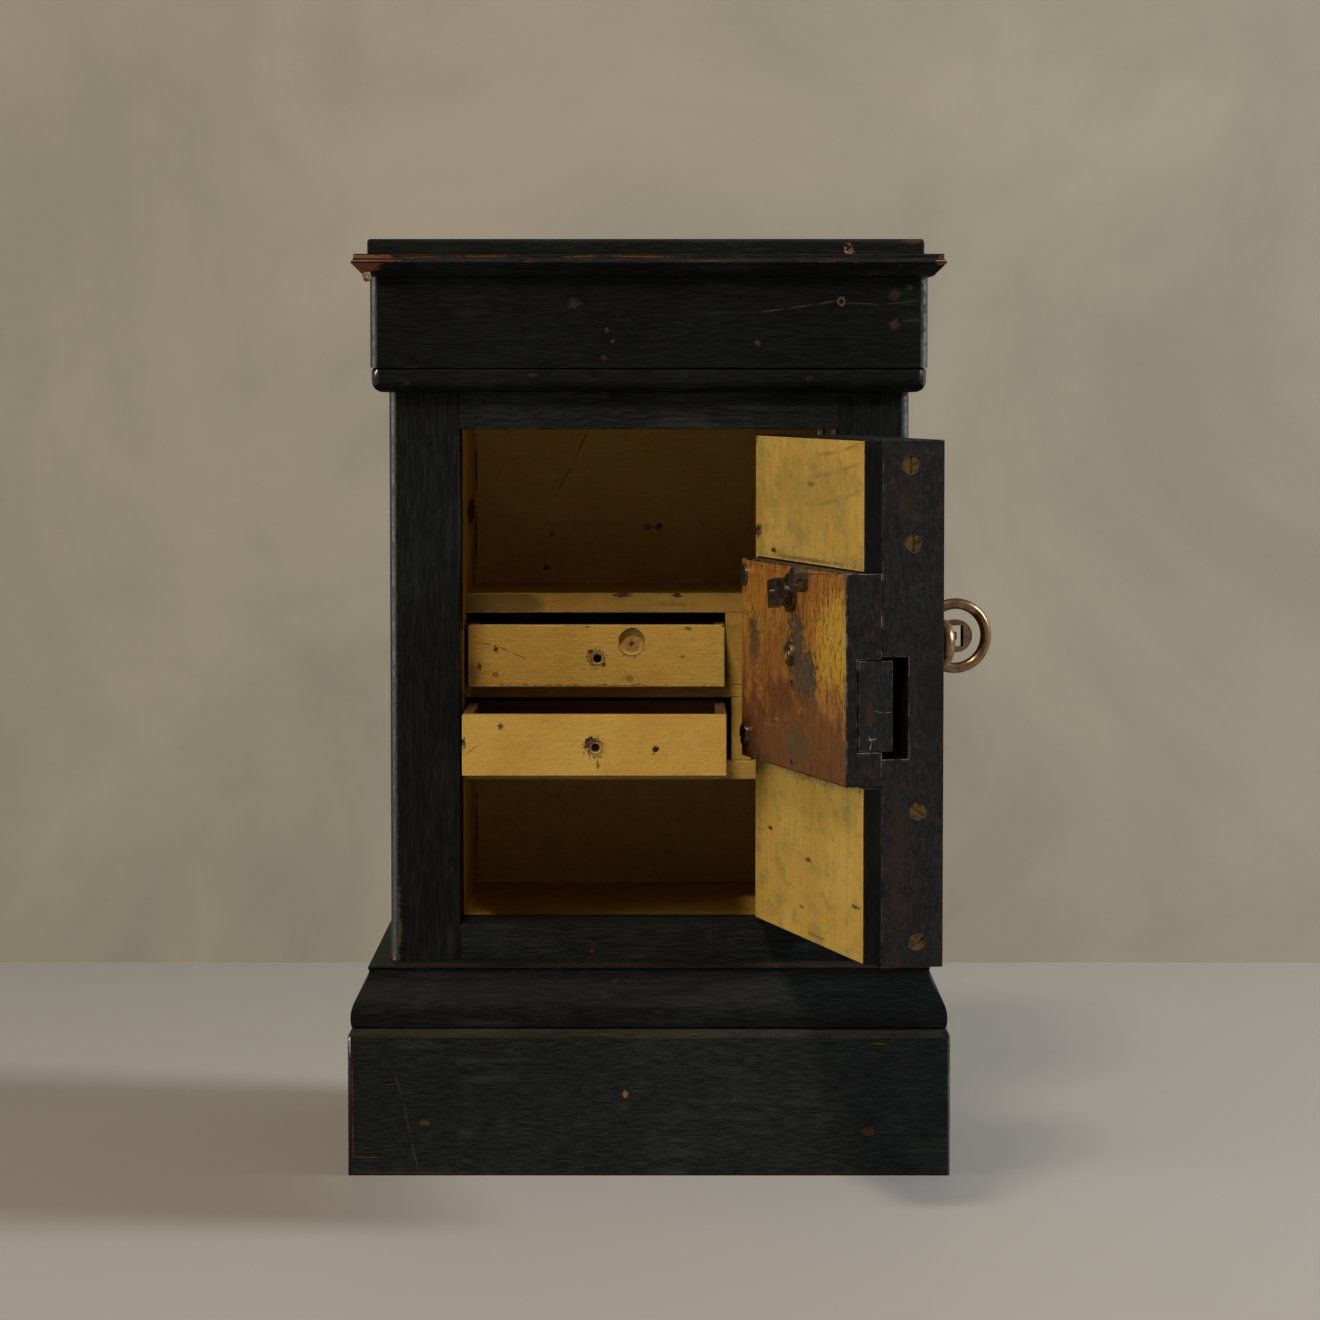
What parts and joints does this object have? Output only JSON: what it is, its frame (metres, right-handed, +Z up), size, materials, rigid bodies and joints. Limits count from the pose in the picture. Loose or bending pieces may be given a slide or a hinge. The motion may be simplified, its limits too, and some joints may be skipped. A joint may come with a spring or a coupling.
{
  "type": "tabletop safe",
  "caption": "Tabletop safe in ebonised wood with a pivoted iron-edged door, a box lock with key and bolt, a painted interior and a nest of drawers.",
  "frame": {"origin": "middle of the plinth's footprint, on the surface that the safe stands on", "axes": "+Z up, -Y out of the front, +X towards the hinge side of the door"},
  "size_m": [0.3664, 0.4234, 0.5394],
  "materials": {
    "ebony": "ebonised, glossy, worn at the arrises",
    "ochre": "brushed ochre paint, worn",
    "deal": "bare softwood, aged",
    "iron": "blackened iron, slightly rusty",
    "steel": "darkened steel",
    "brass": "dull brass",
    "lock_paint": "worn brown-orange paint"
  },
  "bodies": {
    "case": {"plinth_front": "ebony", "plinth_left": "ebony", "plinth_right": "ebony", "base_moulding_front": "ebony", "base_moulding_left": "ebony", "base_moulding_right": "ebony", "left_stile": "ebony", "right_stile": "ebony", "bottom_rail": "ebony", "top_rail": "ebony", "left_side": "ebony", "right_side": "ebony", "back_panel": "ebony", "bead_front": "ebony", "bead_left": "ebony", "bead_right": "ebony", "frieze_front": "ebony", "frieze_left": "ebony", "frieze_right": "ebony", "cornice_front": "ebony", "cornice_left": "ebony", "cornice_right": "ebony", "cap_board": "ebony", "floor_lining": "ochre", "ceiling_lining": "ochre", "left_lining": "ochre", "right_lining": "ochre", "back_lining": "ochre", "top_shelf": "ochre", "middle_shelf": "ochre", "bottom_shelf": "ochre", "upper_cheek": "ochre", "lower_cheek": "ochre", "base_board": "deal", "bottom_deck": "deal", "top_deck": "deal", "hinge_sockets": "steel"},
    "door": {"door_core": "ebony", "door_panel": "ochre", "edge_strip": "iron", "edge_screws": "brass", "hinge_pins": "steel", "lock_case": "lock_paint", "lock_screws": "steel", "lock_through_bolt": "steel", "lock_levers": "brass", "lever_post": "steel", "pull_knob": "brass"},
    "key": {"key": "brass"},
    "bolt": {"bolt": "iron"},
    "upper_drawer": {"upper_drawer_front": "ochre", "upper_drawer_sides": "deal", "upper_drawer_back": "deal", "upper_drawer_floor": "deal"},
    "lower_drawer": {"lower_drawer_front": "ochre", "lower_drawer_sides": "deal", "lower_drawer_back": "deal", "lower_drawer_floor": "deal"}
  },
  "joints": [
    {"name": "door_swing", "type": "hinge", "parent": "case", "child": "door", "pos_m": [0.0992, -0.09165, 0.285], "axis": [0, 0, 1], "range_deg": [-104.5, 0]},
    {"name": "upper_drawer_slide", "type": "slide", "parent": "case", "child": "upper_drawer", "axis": [0, -1, 0], "range_m": [-0.023, 0]},
    {"name": "lower_drawer_slide", "type": "slide", "parent": "case", "child": "lower_drawer", "axis": [0, -1, 0], "range_m": [-0.104, 0]},
    {"name": "key_turn", "type": "hinge", "parent": "door", "child": "key", "pos_m": [0.12409, -0.18788, 0.3156], "axis": [-0.9681, -0.2504, 0], "range_deg": [0, 180]},
    {"name": "bolt_slide", "type": "slide", "parent": "door", "child": "bolt", "axis": [0.2504, -0.9681, 0], "range_m": [0, 0.012]}
  ],
  "couplings": [
    {"joint": "lower_drawer_slide", "follows": "door_swing", "m_per_rad": 0.05702},
    {"joint": "key_turn", "follows": "bolt_slide", "rad_per_m": 261.79}
  ]
}
